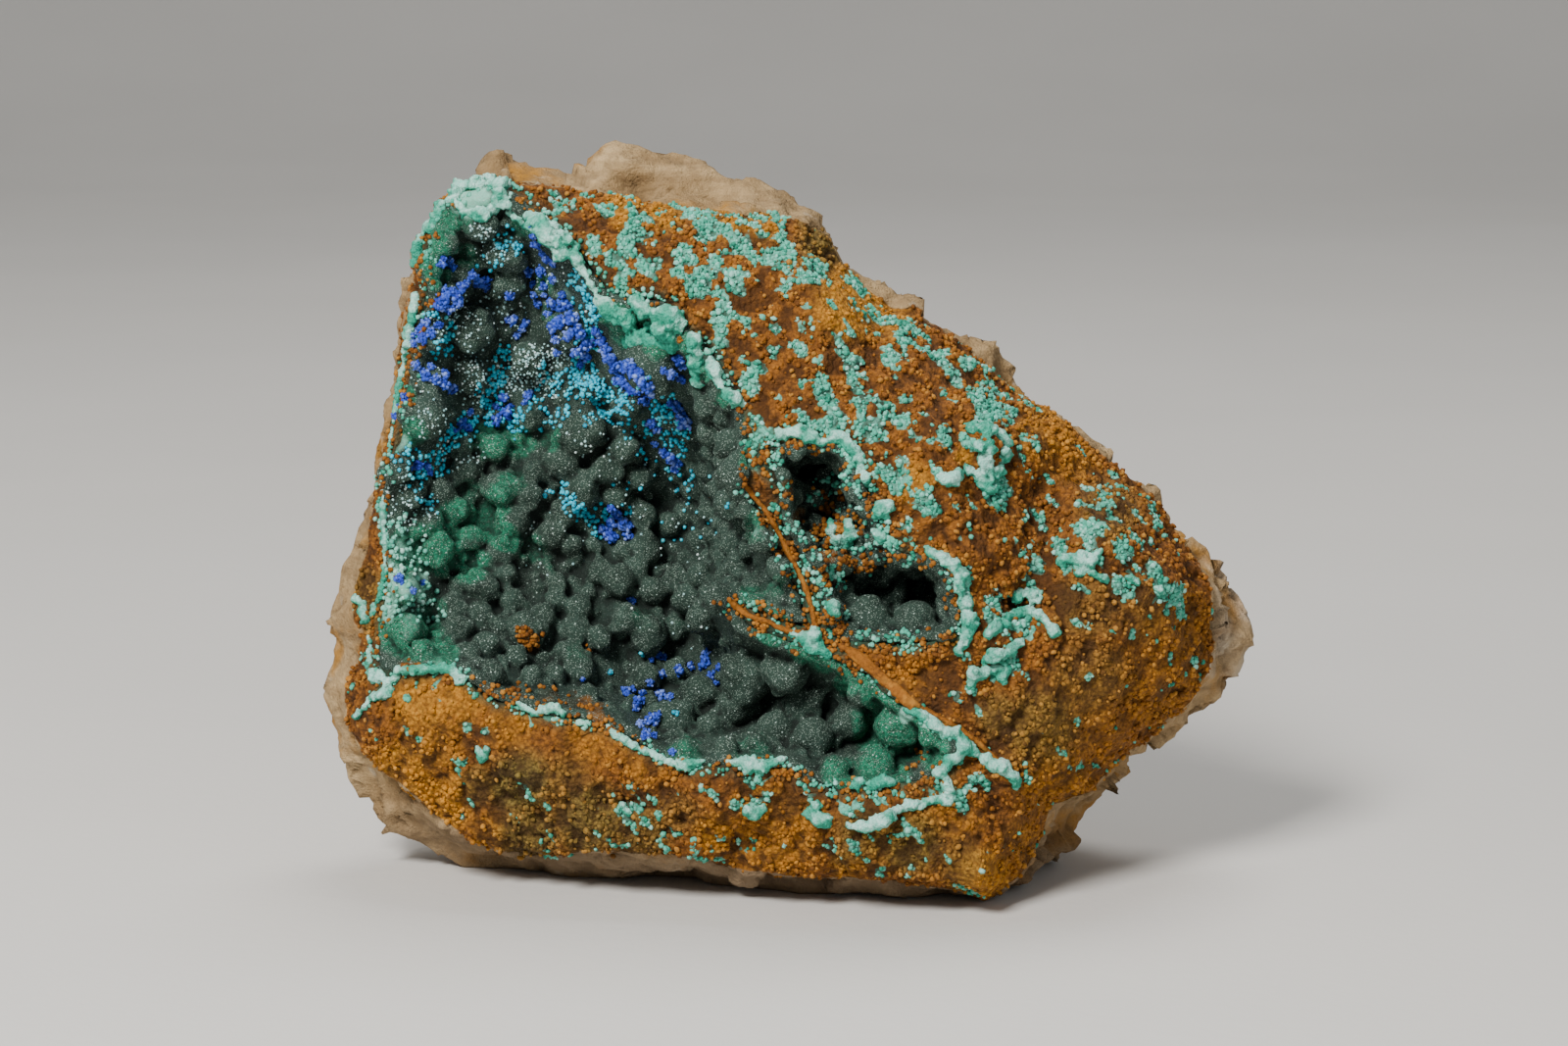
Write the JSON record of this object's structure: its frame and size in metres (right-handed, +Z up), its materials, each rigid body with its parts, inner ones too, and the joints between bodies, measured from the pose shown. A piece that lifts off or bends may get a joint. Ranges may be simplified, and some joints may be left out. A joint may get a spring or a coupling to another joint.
{
  "type": "grandviewite specimen",
  "caption": "Cabinet mineral specimen: a block of tan rock under a rusty limonite skin, with open hollows lined by lumpy green crystal crusts, standing on its flat cut base.",
  "frame": {"origin": "centre of the bounding box, on the plane that the specimen stands on", "axes": "+X along the block's length, towards its tapering right end as seen from the front; -Y towards the viewer, out of the hollows' mouths; +Z up"},
  "size_m": [0.121, 0.0612, 0.0933],
  "materials": {
    "limonite_rock": "matt, granular rusty limonite over pale tan broken rock",
    "green_crust": "velvety dark green botryoidal crust with pale turquoise rims"
  },
  "bodies": {
    "root": {"host_rock": "limonite_rock", "vug_crust": "green_crust", "side_vug_crust": "green_crust"}
  },
  "joints": []
}
